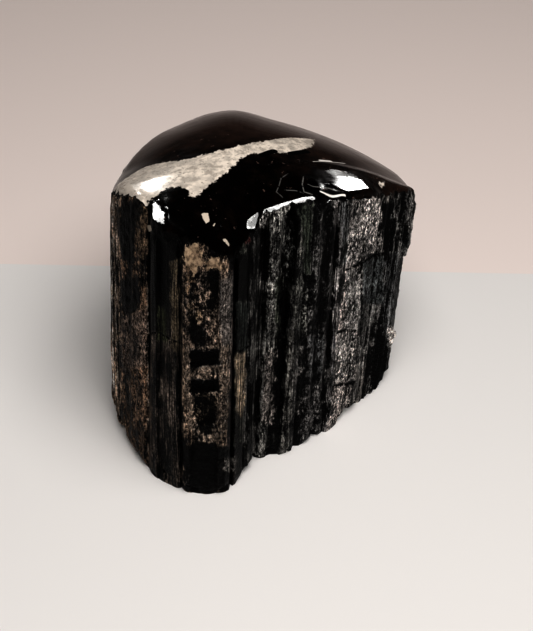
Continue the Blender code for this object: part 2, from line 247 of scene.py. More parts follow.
# Outline of the pale vein over the dome, in plan, and thin slivers of it further right.
VEIN = [
    (-38.0, -12.5), (-33.8, -8.5), (-32.1, -6.2), (-28.7, -3.4), (-25.0, -4.2), (-18.8, -6.4),
    (-14.1, -5.4), (-9.4, -4.3), (-3.6, -0.7), (1.1, 3.6), (7.3, 9.3), (12.6, 14.6),
    (11.6, 5.6), (8.0, -0.1), (4.9, -3.6), (2.5, -4.0), (-0.6, -4.1), (-3.0, -5.7), (-5.7, -8.8),
    (-8.3, -13.1), (-11.1, -17.6), (-13.7, -20.5), (-16.1, -23.1), (-17.2, -20.3),
    (-19.1, -19.0), (-21.9, -18.5), (-24.7, -21.4), (-26.6, -23.2), (-27.4, -27.0),
    (-38.0, -20.0),
]
SLIVERS = [
    [(12.1, -2.6), (14.0, -0.9), (20.5, 4.5), (15.6, 0.1)],
    [(28.2, 1.0), (30.2, 4.6), (29.9, 1.4)],
]

# Places on the side traced in photo pixels: how much pale grain covers each, the grain's
# colour, how far it is drawn out upright, and how soft its outline is in pixels.
PATCHES = [
    # Left edge.
    ([(119, 205), (134, 203), (136, 235), (133, 262), (121, 258)],
     -0.55, (0.1, 0.07, 0.05), 0.3, 2.0),
    ([(135, 203), (148, 207), (148, 275), (140, 270), (137, 240)],
     0.42, (0.11, 0.08, 0.055), 0.5, 2.0),
    ([(121, 282), (138, 278), (142, 300), (134, 314), (123, 308)],
     -0.5, (0.1, 0.07, 0.05), 0.2, 2.5),
    ([(121, 314), (148, 310), (149, 368), (123, 368)], 0.78, (0.12, 0.092, 0.075), 0.3, 4.0),
    ([(123, 368), (149, 368), (149, 465), (126, 425)], 0.55, (0.11, 0.075, 0.052), 0.3, 4.0),
    # Smooth rod left of the front pillar.
    ([(149, 205), (182, 240), (181, 262), (169, 262), (165, 330), (150, 330)],
     -0.6, (0.02, 0.02, 0.018), 1.0, 2.0),
    # Painted sheen: a brownish stripe down the smooth black rod.
    ([(169, 262), (180, 258), (181, 352), (171, 350)], 0.85, (0.05, 0.04, 0.028), 1.0, 1.5),
    ([(157, 306), (168, 306), (168, 342), (157, 340)], 0.6, (0.028, 0.03, 0.018), 1.0, 2.0),
    # Front pillar, with its pits and its foot.
    ([(184, 272), (232, 272), (232, 350), (184, 350)], 0.34, (0.16, 0.125, 0.1), 0.2, 3.0),
    ([(197, 273), (220, 271), (222, 290), (198, 290)], 0.12, (0.15, 0.12, 0.1), 0.2, 2.0),
    ([(184, 262), (195, 272), (196, 296), (187, 296)], 0.6, (0.16, 0.115, 0.08), 0.4, 2.0),
    ([(187, 306), (194, 301), (204, 320), (199, 326)], 0.95, (0.18, 0.135, 0.095), 0.1, 1.5),
    ([(219, 280), (233, 276), (232, 352), (221, 350)], 0.8, (0.13, 0.115, 0.105), 0.3, 2.0),
    ([(184, 345), (231, 345), (230, 400), (226, 430), (218, 442), (200, 442), (190, 430), (185, 400)],
     0.8, (0.14, 0.112, 0.09), 0.2, 1.5),
    ([(191, 351), (219, 350), (220, 365), (192, 366)], -0.45, (0.1, 0.1, 0.1), 0.2, 1.2),
    ([(191, 380), (218, 379), (218, 391), (191, 392)], -0.4, (0.1, 0.1, 0.1), 0.2, 1.2),
    ([(193, 395), (217, 394), (216, 415), (211, 434), (205, 436), (197, 422)],
     0.14, (0.1, 0.08, 0.06), 0.2, 1.5),
    ([(184, 446), (246, 446), (246, 492), (184, 492)], -0.6, (0.08, 0.07, 0.065), 0.2, 3.0),
    ([(222, 458), (238, 456), (238, 472), (224, 473)], 0.65, (0.07, 0.065, 0.06), 0.1, 2.5),
    # Narrow rods right of the pillar.
    ([(234, 250), (250, 262), (248, 300), (234, 300)], -0.5, (0.05, 0.05, 0.05), 0.5, 2.5),
    ([(236, 303), (249, 303), (247, 352), (236, 352)], 1.3, (0.02, 0.022, 0.02), 1.0, 1.0),
    # Tan face, partly its own tan and partly painted sheen.
    ([(235, 354), (246, 352), (245, 400), (241, 416), (236, 410)],
     1.3, (0.22, 0.178, 0.132), 1.0, 1.5),
    ([(247, 383), (254, 384), (253, 420), (248, 428)], -0.6, (0.05, 0.05, 0.05), 0.5, 1.0),
    ([(255, 213), (267, 213), (267, 229), (256, 229)], 0.62, (0.24, 0.23, 0.22), 0.0, 1.5),
    ([(240, 236), (252, 236), (250, 244), (241, 243)], 0.95, (0.05, 0.006, 0.005), 0.2, 2.5),
    # Middle rods.
    ([(283, 213), (293, 213), (290, 277), (282, 277)], 0.56, (0.16, 0.158, 0.148), 0.3, 1.5),
    ([(275, 277), (283, 277), (281, 345), (276, 345)], 0.6, (0.06, 0.064, 0.052), 0.4, 1.5),
    ([(265, 351), (277, 351), (275, 425), (262, 425)], 0.62, (0.15, 0.135, 0.125), 0.3, 1.5),
    ([(292, 210), (301, 210), (297, 285), (291, 285)], -0.6, (0.05, 0.05, 0.05), 0.5, 1.5),
    ([(301, 205), (313, 203), (312, 275), (303, 277)], 1.2, (0.026, 0.029, 0.023), 1.0, 1.0),
    ([(295, 277), (309, 277), (306, 337), (296, 337)], 0.5, (0.12, 0.118, 0.108), 0.3, 1.5),
    ([(292, 345), (303, 345), (303, 415), (292, 420)], 0.55, (0.1, 0.095, 0.09), 0.5, 2.0),
    ([(309, 337), (325, 337), (324, 375), (310, 375)], 0.62, (0.06, 0.06, 0.06), 0.3, 2.0),
    ([(303, 385), (325, 383), (322, 420), (303, 432)], 0.3, (0.08, 0.076, 0.074), 0.1, 3.0),
    # Broad pale panel.
    ([(339, 200), (349, 200), (349, 265), (342, 262)], 0.42, (0.11, 0.11, 0.11), 1.0, 1.5),
    ([(351, 203), (383, 200), (384, 255), (347, 270)], 0.66, (0.23, 0.215, 0.205), 0.15, 1.5),
    ([(363, 262), (383, 253), (384, 305), (363, 305)], 0.55, (0.07, 0.074, 0.074), 0.3, 1.2),
    ([(347, 272), (362, 268), (362, 331), (345, 331)], 0.7, (0.25, 0.238, 0.228), 0.25, 1.2),
    ([(336, 333), (356, 331), (354, 380), (334, 382)], 0.76, (0.26, 0.245, 0.232), 0.15, 1.5),
    ([(362, 305), (375, 305), (372, 345), (360, 375), (357, 345)],
     0.5, (0.12, 0.115, 0.11), 0.6, 1.5),
    ([(383, 205), (393, 203), (391, 262), (385, 262)], -0.5, (0.05, 0.05, 0.05), 0.9, 1.5),
    # Right edge.
    ([(384, 262), (399, 248), (396, 335), (384, 335)], 0.55, (0.085, 0.085, 0.085), 1.0, 2.0),
    ([(389, 325), (400, 325), (400, 347), (388, 347)], 1.6, (0.55, 0.51, 0.48), 0.0, 1.0),
    ([(373, 335), (389, 335), (388, 388), (372, 392)], -0.45, (0.08, 0.08, 0.08), 0.5, 2.0),
]

# Tan crusts and cream chips, traced in photo pixels; the last cream chip is a painted highlight.
TAN = [
    [(183, 249), (190, 247), (197, 244), (201, 252), (204, 262), (197, 268), (193, 277), (189, 268),
     (184, 262)],
    [(205, 263), (210, 257), (218, 257), (224, 266), (222, 271), (214, 267), (207, 271)],
]
CREAM_CHIPS_AND_HIGHLIGHT = [
    [(201, 213), (208, 213), (210, 221), (206, 224), (203, 219)],
    [(212, 225), (216, 222), (214, 227)],
    [(221, 236), (226, 239), (230, 245), (229, 247), (224, 242)],
    # Painted highlight on the rounded rim of the rod, in the chips' pale colour.
    [(147, 225), (151, 225), (152, 231), (149, 232)],
]

# Cracks and bright crests, traced in photo pixels, with their half widths in pixels and how
# much grain covers them. The bright crests are painted highlights along rib edges that catch the
# light.
CRACK_COVER = -0.4
CREST_HIGHLIGHT_COVER = 1.1
CRACKS = [
    ([(347, 270), (356, 266), (365, 262), (375, 255), (384, 253)], 1.0),
    ([(362, 262), (362, 300), (361, 345)], 0.9),
    ([(338, 333), (347, 330), (356, 331)], 0.8),
    ([(152, 333), (160, 334), (168, 338), (182, 344)], 0.7),
    ([(236, 353), (242, 350), (248, 347)], 0.8),
    ([(334, 385), (345, 384), (356, 382)], 1.2),
]
CREST_HIGHLIGHTS = [
    ([(112.5, 200), (112.5, 300), (113.5, 390)], 0.8, (0.34, 0.32, 0.3)),
    ([(116.5, 200), (116.5, 300), (117.5, 395)], 0.6, (0.22, 0.2, 0.18)),
    ([(350, 208), (348, 240), (346, 268)], 0.8, (0.24, 0.23, 0.22)),
    ([(374, 305), (371, 321), (367, 345), (359, 375), (355, 393)], 1.0, (0.16, 0.155, 0.15)),
    ([(321, 402), (338, 400), (355, 397)], 0.9, (0.15, 0.145, 0.14)),
    ([(391, 206), (390, 230), (389, 256)], 0.7, (0.17, 0.165, 0.16)),
    ([(147, 270), (148, 350), (148, 450)], 0.7, (0.17, 0.15, 0.13)),
    ([(336, 285), (334, 340), (331, 390)], 0.7, (0.06, 0.062, 0.068)),
]

# Colours of the crystal.
SIDE_BLACK = (0.0022, 0.0019, 0.0018, 1.0)
CRUST_PALE = (0.56, 0.43, 0.305, 1.0)
CRUST_DARK = (0.15, 0.108, 0.074, 1.0)
DOME_BLACK = (0.0012, 0.0009, 0.0008, 1.0)
# Brown of the polish, partly its own tone and partly painted sheen of reflected light.
DOME_BROWN_SHEEN = (0.032, 0.0165, 0.0115, 1.0)
CREAM_PALE = (0.7, 0.635, 0.56, 1.0)
CREAM_DARK = (0.4, 0.36, 0.315, 1.0)
CREAM_CLOUD = (0.36, 0.33, 0.295, 1.0)
CREAM_SPOT = (0.1, 0.08, 0.065, 1.0)
DUST = (0.13, 0.085, 0.07, 1.0)
# Pale colour of the cream chips, also used for one painted highlight.
CHIP_AND_HIGHLIGHT = (0.52, 0.46, 0.39, 1.0)

# Random fields of the material: changes per millimetre in x, y and z, the noise's detail and
# roughness, the range of it that is used, and what that is spread to if not 0 to 1.
FIELDS = {
    "speck": ((1.45, 1.45, 0.8), 6.0, 0.74, 0.38, 0.64),
    "streak": ((2.3, 2.3, 0.075), 5.0, 0.7, 0.36, 0.66),
    "blot": ((0.3, 0.3, 0.13), 3.0, 0.6, 0.36, 0.64, 0.22, 1.08),
    "fine": ((3.2, 3.2, 1.5), 3.0, 0.7, 0.4, 0.62, 0.45, 1.6),
    "cloudy": ((0.17, 0.17, 0.08), 3.0, 0.6, 0.36, 0.64, 0.5, 1.55),
    # Painted glints on the side.
    "painted_glint": ((2.2, 2.2, 0.55), 4.0, 0.8, 0.6, 0.66),
    "crust_edge": ((1.2, 1.2, 0.9), 4.0, 0.55, 0.3, 0.7, -1.5, 1.5),
    "crust_tone": ((1.1, 1.1, 0.8), 4.0, 0.55, 0.35, 0.65),
    "vein_edge": ((1.3, 1.3, 1.3), 4.0, 0.65, 0.3, 0.7, -0.45, 0.45),
    "cream_tone": ((0.55, 0.55, 0.55), 6.0, 0.72, 0.44, 0.62),
    "cream_cloud": ((0.16, 0.16, 0.16), 4.0, 0.65, 0.42, 0.62),
    "cream_spots": ((1.5, 1.5, 1.5), 4.0, 0.7, 0.6, 0.68),
    "dust": ((0.8, 0.8, 0.8), 2.0, 0.55, 0.7, 0.74),
    "broken": ((1.3, 1.3, 1.3), 2.0, 0.55, 0.36, 0.5),
    "gloss": ((0.12, 0.5, 0.5), 3.0, 0.55, 0.35, 0.65, 0.1, 0.19),
}
COVER_FROM_TO = (1.28, 2.1)  # sum of texture and grain where the grain sets in and is full
# Painted sheen, partly the polish's own brown: the brown cast grows towards the back.
BROWN_SHEEN_FROM_TO = (-14.0, 22.0)  # y between which the dome's brown cast grows
SHINE_GAIN = 4.6
SHINE_BASE = 0.12
# Painted glints on the side: how bright and how coloured they are.
PAINTED_GLINT_GAIN = 3.7
PAINTED_GLINT_SATURATION = 0.55
NATURAL_LEVEL = 0.03  # strength of the reflections
POLISHED_LEVEL = 0.046

# Distances that stand for far away, in millimetres, and well outside an outline, in pixels.
FAR = 1e9
OUTSIDE = -9.0

# Large whole numbers that scatter the places of the random lattice, and the bits kept.
SCATTER_X, SCATTER_Y, SCATTER_Z, SCATTER_SEED = 374761393, 668265263, 2147483647, 1274126177
STIR = 1103515245
WORD = 0xFFFFFFFF
FRACTION = 0xFFFFFF


def lattice(ix, iy, iz, seed):
    """Repeatable random value from 0 to 1 at each whole-number place."""
    h = (ix * SCATTER_X + iy * SCATTER_Y + iz * SCATTER_Z + seed * SCATTER_SEED) & WORD
    h = ((h ^ (h >> 13)) * STIR) & WORD
    h = ((h ^ (h >> 15)) * SCATTER_Y) & WORD
    return ((h ^ (h >> 16)) & FRACTION) / FRACTION


def noise(x, y, z, seed):
    """Smooth random field from -1 to 1 that changes over a unit."""
    x, y, z = np.broadcast_arrays(x, y, z)
    ix, iy, iz = (np.floor(v).astype(np.int64) for v in (x, y, z))
    fx, fy, fz = x - ix, y - iy, z - iz
    fx, fy, fz = (f * f * f * (f * (f * 6 - 15) + 10) for f in (fx, fy, fz))
    total = 0.0
    for dx in (0, 1):
        for dy in (0, 1):
            for dz in (0, 1):
                weight = (fx if dx else 1 - fx) * (fy if dy else 1 - fy) * (fz if dz else 1 - fz)
                total = total + weight * lattice(ix + dx, iy + dy, iz + dz, seed)
    return total * 2 - 1


def fractal(x, y, z, octaves, seed):
    """Sum of noise fields, each half as wide and half as strong as the last."""
    total, strength, scale = 0.0, 1.0, 1.0
    for octave in range(octaves):
        total = total + strength * noise(x * scale, y * scale, z * scale, seed + octave)
        strength, scale = strength * 0.5, scale * 2.0
    return total


def smooth(low, high, v):
    """0 below low, 1 above high, smooth between."""
    t = np.clip((v - low) / (high - low), 0.0, 1.0)
    return t * t * (3 - 2 * t)


def closed_curve(knots, values, at):
    """Smooth periodic function of an angle through the given knots."""
    order = np.argsort(knots)
    k = np.asarray(knots, float)[order]
    v = np.asarray(values, float)[order]
    n = len(k)
    k = np.concatenate([k[-2:] - math.tau, k, k[:2] + math.tau])
    v = np.concatenate([v[-2:], v, v[:2]])
    slope = np.zeros(n + 4)
    slope[1:-1] = (v[2:] - v[:-2]) / (k[2:] - k[:-2])
    a = (at - k[1]) % math.tau + k[1]
    i = np.clip(np.searchsorted(k, a, side="right") - 1, 1, n + 1)
    h = k[i + 1] - k[i]
    t = (a - k[i]) / h
    return (
        (2 * t ** 3 - 3 * t ** 2 + 1) * v[i]
        + (t ** 3 - 2 * t ** 2 + t) * h * slope[i]
        + (3 * t ** 2 - 2 * t ** 3) * v[i + 1]
        + (t ** 3 - t ** 2) * h * slope[i + 1]
    )


def dome_height(x, y):
    """Height of the polished skin over a plan point."""
    rim = np.array(RIM) - [*BOX_CENTRE, 0.0, 0.0]
    arm = rim[:, :2] - CROWN_CENTRE
    knots = np.arctan2(arm[:, 1], arm[:, 0])
    dx, dy = x - CROWN_CENTRE[0], y - CROWN_CENTRE[1]
    angle = np.arctan2(dy, dx)
    reach = closed_curve(knots, np.hypot(arm[:, 0], arm[:, 1]), angle)
    height = closed_curve(knots, rim[:, 2], angle)
    width = closed_curve(knots, rim[:, 3], angle)
    share = np.hypot(dx, dy) / reach
    blunt = CROWN_ROUNDING ** 2
    low = blunt ** (CROWN_POWER / 2)
    high = (1.0 + blunt) ** (CROWN_POWER / 2)
    fall = ((share ** 2 + blunt) ** (CROWN_POWER / 2) - low) / (high - low)
    shoulder = height + ROLL_STEEPNESS * width
    outward = np.clip(1.0 - (1.0 - share) * reach / width, 0.0, 1.0)
    roll = ROLL_STEEPNESS * width * (1.0 - np.sqrt(1.0 - outward ** 2))
    return shoulder + (CROWN_HEIGHT - shoulder) * (1.0 - fall) - roll


def segment_gap(start, end, u, v):
    """Distance from each place to a straight stretch."""
    du, dv = end[0] - start[0], end[1] - start[1]
    t = np.clip(((u - start[0]) * du + (v - start[1]) * dv) / (du * du + dv * dv), 0.0, 1.0)
    return np.hypot(u - start[0] - t * du, v - start[1] - t * dv)


def line_distance(line, u, v):
    """Distance from each place to an open line."""
    gap = np.full(np.shape(u), FAR)
    for start, end in zip(line, line[1:]):
        gap = np.minimum(gap, segment_gap(start, end, u, v))
    return gap


def inside_depth(outline, u, v):
    """Distance to a closed outline: positive inside it, negative outside."""
    gap = line_distance(outline + outline[:1], u, v)
    odd = np.zeros(np.shape(u), bool)
    for (u0, v0), (u1, v1) in zip(outline, outline[1:] + outline[:1]):
        if v0 != v1:
            odd ^= ((v0 > v) != (v1 > v)) & (u < (v - v0) / (v1 - v0) * (u1 - u0) + u0)
    return np.where(odd, gap, -gap)


def traced_depth(outlines, u, v, seen, ragged=0.0):
    """Depth inside the nearest of several outlines, for the columns that the camera sees."""
    depth = np.full(u.shape, OUTSIDE)
    for outline in outlines:
        depth = np.maximum(depth, inside_depth(outline, u, v) + ragged)
    return np.where(seen, depth, OUTSIDE)


def camera_axes():
    """Camera's right, down and ahead in the shared frame."""
    pitch, roll = math.radians(CAMERA_PITCH), math.radians(CAMERA_ROLL)
    ahead = Vector((0.0, math.cos(pitch), -math.sin(pitch)))
    down = Vector((0.0, -math.sin(pitch), -math.cos(pitch)))
    right = Vector((1.0, 0.0, 0.0))
    across = right * math.cos(roll) + down * math.sin(roll)
    below = down * math.cos(roll) - right * math.sin(roll)
    return across, below, ahead


def photo_place(x, y, z):
    """Where a place of the crystal falls in the photo, in pixels."""
    offset = np.stack([x - CAMERA_PLACE[0], y - CAMERA_PLACE[1], z - CAMERA_PLACE[2]], axis=-1)
    across, below, ahead = (offset @ np.array(axis) for axis in camera_axes())
    u = PHOTO_WIDTH / 2 + FOCAL_PIXELS * across / ahead
    v = PHOTO_HEIGHT / 2 + FOCAL_PIXELS * below / ahead
    return u, v


def band_values(x, z, run):
    """Values of the rib bands at places of the side, as columns of an array."""
    rise = np.clip((z - BAND_FOOT) / (BAND_TOP - BAND_FOOT), 0.0, 1.0)
    x = x + 0.25 * noise(run / 1.5, z / 3.0, 0.0, 31)
    out = np.zeros((*x.shape, SIDE_VALUES))
    for x_top, x_foot, grain_top, grain_foot, color, drawn, rough, stria in BANDS:
        edge = x_foot + (x_top - x_foot) * rise
        share = smooth(-0.25, 0.25, x - edge)[..., None]
        grain = grain_foot + (grain_top - grain_foot) * rise
        even = (np.full(x.shape, v) for v in (*color, drawn, rough, stria, 0.0))
        out = out * (1 - share) + np.stack([grain, *even], axis=-1) * share
    return out


def lay_grain(bands, grain, color, drawn, share):
    """Blends another grain, colour and drawing out into the bands."""
    for column, value in enumerate((grain, *color, drawn)):
        bands[..., column] += (value - bands[..., column]) * share


def add_patches(bands, u, v, seen, run, z):
    """Lays the traced patches, the painted crest highlights and the cracks over the bands where the
    photo shows them.
    """
    ragged = 1.6 * fractal(u / 5.0, v / 5.0, 0.0, 3, 61)
    for outline, grain, color, drawn, soft in PATCHES:
        share = smooth(-soft, soft, inside_depth(outline, u, v) + ragged) * seen
        lay_grain(bands, grain, color, drawn, share)
    broken = smooth(-0.6, 0.3, noise(run / 0.6, z / 2.2, 0.0, 63))
    # Painted highlights: pale lines along the rib crests where they catch the light.
    for line, width, color in CREST_HIGHLIGHTS:
        gap = line_distance(line, u + 0.4 * ragged, v)
        share = (1.0 - smooth(0.4 * width, 1.4 * width, gap)) * seen * broken
        lay_grain(bands, CREST_HIGHLIGHT_COVER, color, 1.0, share)
    for line, width in CRACKS:
        gap = line_distance(line, u + 0.3 * ragged, v + 0.4 * ragged)
        share = (1.0 - smooth(0.4 * width, 1.5 * width, gap)) * seen
        bands[..., GRAIN] -= share * (bands[..., GRAIN] - CRACK_COVER)
        bands[..., CUT] = np.maximum(bands[..., CUT], share)


def search_tree(mesh, matrix=Matrix()):
    """Search tree of a mesh, in millimetres."""
    points = [(matrix @ v.co) / METRES for v in mesh.vertices]
    return BVHTree.FromPolygons(points, [tuple(p.vertices) for p in mesh.polygons])


def reach_at(tree, bearing, height):
    """How far the CAD side lies from the axis on a bearing, at a height."""
    start = Vector((AXIS[0], AXIS[1], height))
    hit = tree.ray_cast(start, Vector((math.cos(bearing), math.sin(bearing), 0.0)))
    return hit[3] if hit[0] is not None else 0.0


def is_front(bearings):
    """Whether the camera sees the side on each bearing."""
    return (bearings > math.radians(FRONT_FROM)) & (bearings < math.radians(FRONT_TO))


def spread_columns(run, edges, count):
    """Bearings that divide a run along the outline into equal steps."""
    return np.interp(np.linspace(0, run[-1], count + 1)[:-1] + 1e-6, run, edges)


def column_bearings(tree):
    """Bearings of the columns, evenly spaced along the outline, closer at the front."""
    fine = np.radians(np.linspace(-180.0, 180.0, OUTLINE_SAMPLES + 1))[:-1]
    reach = np.array([reach_at(tree, a, OUTLINE_HEIGHT) for a in fine])
    x = AXIS[0] + reach * np.cos(fine)
    y = AXIS[1] + reach * np.sin(fine)
    step = np.hypot(np.diff(x, append=x[:1]), np.diff(y, append=y[:1]))
    step = np.minimum(step, LONGEST_STEP)
    front = is_front(fine)
    run = np.concatenate([[0.0], np.cumsum(np.where(front, step, 0.0))])
    back_run = np.concatenate([[0.0], np.cumsum(np.where(front, 0.0, step))])
    edges = np.append(fine, math.pi)
    first = spread_columns(run, edges, FRONT_COLUMNS)
    second = spread_columns(back_run, edges, BACK_COLUMNS)
    second = second[(second < first.min() - 1e-3) | (second > first.max() + 1e-3)]
    return np.sort(np.concatenate([first, second]))


def side_reaches(tree, bearings, heights):
    """Reach of the CAD side for every column and height."""
    return np.array([[reach_at(tree, bearing, height) for height in heights] for bearing in bearings])


def lookup(table, heights, z):
    """Row-wise linear interpolation of table over heights at z."""
    place = np.clip((z - heights[0]) / (heights[1] - heights[0]), 0, len(heights) - 1.001)
    low = place.astype(int)
    share = place - low
    rows = np.arange(len(table))[:, None]
    return table[rows, low] * (1 - share) + table[rows, low + 1] * share


def terraces(run, z, width, height, seed):
    """Flat steps of about a width and a height, with values from -1 to 1."""
    column = np.floor(run / width + 0.4 * noise(run / width, z / 40.0, 0.0, seed)).astype(np.int64)
    shift = lattice(column, 0 * column, 0 * column, seed)
    level = np.floor(z / height + shift * 7.0).astype(np.int64)
    return lattice(column, level, 0 * column + 1, seed) * 2 - 1


def side_detail(z, run, bands, top):
    """How far the side stands out from the CAD side because of its fine relief."""
    lines = sum(strength * noise(run / width, z / height, 0.0, seed)
                for strength, width, height, seed in STRIAE)
    steps = sum(strength * terraces(run, z, width, height, seed)
                for strength, width, height, seed in STEPS)
    grain = fractal(run / 1.3, z / 1.8, 0.0, 3, 5)
    foot_line = 3.0 + 2.4 * noise(run / 4.0, 0.0, 0.0, 21) + 0.8 * noise(run / 0.9, z / 1.5, 0.0, 22)
    foot = smooth(0.0, 1.0, foot_line - z) * (0.5 + 0.5 * noise(run / 2.0, z / 2.0, 0.0, 23))
    rim_line = 0.9 + 0.9 * noise(run / 2.2, 0.0, 0.0, 25)
    rim = smooth(0.0, 0.5, z - top + rim_line) * 0.25 * (1.0 + noise(run / 1.1, z / 0.8, 0.0, 26))
    relief = bands[..., STRIA] * (lines + STEP_SHARE * steps) + bands[..., ROUGH] * grain
    return relief - foot - rim - CRACK_DEPTH * bands[..., CUT]


def mean_over_columns(table, half):
    """Mean over the columns up to half away on both sides, all round."""
    padded = np.concatenate([table[-half:], table, table[:half]])
    total = np.cumsum(np.concatenate([0 * padded[:1], padded]), axis=0)
    return (total[2 * half + 1:] - total[:-2 * half - 1]) / (2 * half + 1)


def side_tops(table, heights, cos, sin):
    """Height of each column's rim. Carries the side on upwards from there in the table."""
    skin = dome_height(AXIS[0] + table * cos, AXIS[1] + table * sin)
    top = np.zeros(len(table))
    for j, clearance in enumerate(skin - heights):
        k = np.nonzero(clearance > SKIN_CLEARANCE)[0].max()
        reach = table[j, max(k - 2, 0)]
        table[j, k - 1:] = reach
        x, y = AXIS[0] + reach * cos[j], AXIS[1] + reach * sin[j]
        top[j] = dome_height(x, y)[0] - EDGE_ROLL_DROP
    return top


def rim_lowering(table, top, cos, sin, seen, front):
    """How far each column's rim drops so that the polish ends on its traced line."""
    rows = np.minimum((top / HEIGHT_STEP).astype(int), table.shape[1] - 1)
    reach = table[np.arange(len(top)), rows]
    evened = mean_over_columns(reach[:, None], RIM_FILL_WINDOW)[:, 0]
    reach = reach + RIM_FILL * front[:, 0] * (evened - reach)
    lowered = np.zeros(len(top))
    for _ in range(LINE_ROUNDS):
        u, v = photo_place(AXIS[0] + reach * cos[:, 0], AXIS[1] + reach * sin[:, 0], top - lowered)
        wanted = np.interp(u, *zip(*POLISH_LINE))
        lowered = np.clip(lowered + (wanted - v) / PIXELS_PER_RISE, *LINE_SHIFT)
    return mean_over_columns((lowered * seen[:, 0])[:, None], LINE_SMOOTHING)[:, 0]


def run_round(table, cos, sin):
    """Length along the outline up to each column."""
    reach = table[:, table.shape[1] // 2]
    place = np.stack([reach * cos[:, 0], reach * sin[:, 0]])
    step = np.hypot(*(place - np.roll(place, 1, axis=1)))
    return np.cumsum(np.minimum(step, LONGEST_STEP))[:, None]


def side_skin(reach, z, top, run, cos, sin, seen, front):
    """Plan places of the side with its fine relief, and the values of its bands."""
    x, y = AXIS[0] + reach * cos, AXIS[1] + reach * sin
    bands = band_values(x, z, run)
    add_patches(bands, *photo_place(x, y, z), seen, run, z)
    stands_out = (reach - mean_over_columns(reach, CREST_WINDOW)) / CREST_RELIEF
    # Painted light on the crests and painted shade in the grooves, by how far each column stands out.
    bands[..., GRAIN] += CREST_LIGHT_AND_GROOVE_SHADE * np.clip(stands_out, -1.0, 1.0) * (bands[..., GRAIN] < 1.0)
    filled = RIM_FILL * front * smooth(RIM_FILL_DEPTH, 0.3 * RIM_FILL_DEPTH, top - z)
    reach = reach + filled * (mean_over_columns(reach, RIM_FILL_WINDOW) - reach)
    worn = FOOT_WEAR * front * (1.0 - smooth(0.0, FOOT_WEAR_HEIGHT, z))
    reach = reach + worn * np.minimum(mean_over_columns(reach, FOOT_WINDOW) - reach, 0.0)
    reach = reach + side_detail(z, run, bands, top) * (1.0 - FOOT_SMOOTHNESS * worn)
    return AXIS[0] + reach * cos, AXIS[1] + reach * sin, bands


def dome_plan(rim_x, rim_y):
    """Plan places of the dome's points, from the rim in to the crown."""
    to_crown = np.hypot(rim_x - CROWN_CENTRE[0], rim_y - CROWN_CENTRE[1])
    steps = np.arange(1, DOME_ROWS + 1)
    share_in = RIM_STEP * steps / to_crown
    rest = (1.0 - share_in[:, -1:]) * (steps / DOME_ROWS) ** DOME_SPREAD
    inward = np.clip(share_in + rest, 0.0, 1.0) * DOME_ROWS / (DOME_ROWS + CROWN_GAP)
    x = rim_x + (CROWN_CENTRE[0] - rim_x) * inward
    y = rim_y + (CROWN_CENTRE[1] - rim_y) * inward
    return x, y


def rim_nearness(x, y, rim_x, rim_y, lowered):
    """Distance of the dome's points from the rim, and how far they sink with it."""
    away, sunk = np.zeros(x.shape), np.zeros(x.shape)
    even_x, even_y = mean_over_columns(rim_x, RIM_SMOOTHING), mean_over_columns(rim_y, RIM_SMOOTHING)
    for j in range(len(x)):
        near = np.hypot(x[j][:, None] - even_x.T, y[j][:, None] - even_y.T)
        away[j] = near.min(axis=1)
        weight = 1.0 / (near + SINK_SOFTNESS) ** 4
        sunk[j] = (weight * lowered).sum(axis=1) / weight.sum(axis=1)
    return away, sunk * np.clip(1.0 - away / LINE_REACH, 0.0, 1.0) ** 2


def bevel_drop(x, y, start, end, width, slope):
    """How far a bevel along a plan line lowers the polish."""
    run_x, run_y = end[0] - start[0], end[1] - start[1]
    length = math.hypot(run_x, run_y)
    along = ((x - start[0]) * run_x + (y - start[1]) * run_y) / length
    out = ((x - start[0]) * run_y - (y - start[1]) * run_x) / length
    held = smooth(-BEVEL_END, BEVEL_START, along)
    held = held * (1.0 - smooth(length - BEVEL_START, length + BEVEL_END, along))
    return slope * held * np.clip(out + width, 0.0, width + BEVEL_OVERHANG)


def with_facets(x, y, z, seen):
    """Heights of the polish with each traced facet pressed flat."""
    faces = [(outline, slopes) for _, outline, *slopes, _, _ in FACETS]
    for outline, slopes in faces + [(flat, None) for flat in FLATS]:
        u, v = photo_place(x, y, z)
        share = smooth(*FACET_EDGE, inside_depth(outline, u, v)) * seen
        held = share > 0.5
        if slopes is None:
            plane = np.stack([np.ones(held.sum()), x[held], y[held]], axis=-1)
            level, slope_x, slope_y = np.linalg.lstsq(plane, z[held], rcond=None)[0]
        else:
            slope_x, slope_y = slopes
            level = (z[held] - slope_x * x[held] - slope_y * y[held]).mean()
        z = z + share * (level + slope_x * x + slope_y * y - z)
    return z


def dome_skin(rim_x, rim_y, run, lowered, seen):
    """Places of the polished dome's points."""
    x, y = dome_plan(rim_x, rim_y)
    away, sunk = rim_nearness(x, y, rim_x, rim_y, lowered)
    roll = EDGE_ROLL_DROP * np.clip(1.0 - away / EDGE_ROLL_WIDTH, 0.0, 1.0) ** EDGE_ROLL_POWER
    lumps = 0.012 * noise(run / 3.0, 0.0, 0.0, 41) * np.exp(-(away / 3.0) ** 2)
    waves = 0.05 * fractal(x / 11.0, y / 11.0, 0.0, 2, 43)
    for at_x, at_y, radius, height in LOBES:
        gap = np.hypot(x - at_x, y - at_y)
        lumps = lumps + height * np.exp(-(gap / radius) ** 2)
    for bevel in BEVELS:
        lumps = lumps - bevel_drop(x, y, *bevel)
    z = dome_height(x, y) - roll - sunk + (lumps + waves) * smooth(0.0, 1.0, away)
    return x, y, with_facets(x, y, z, seen)


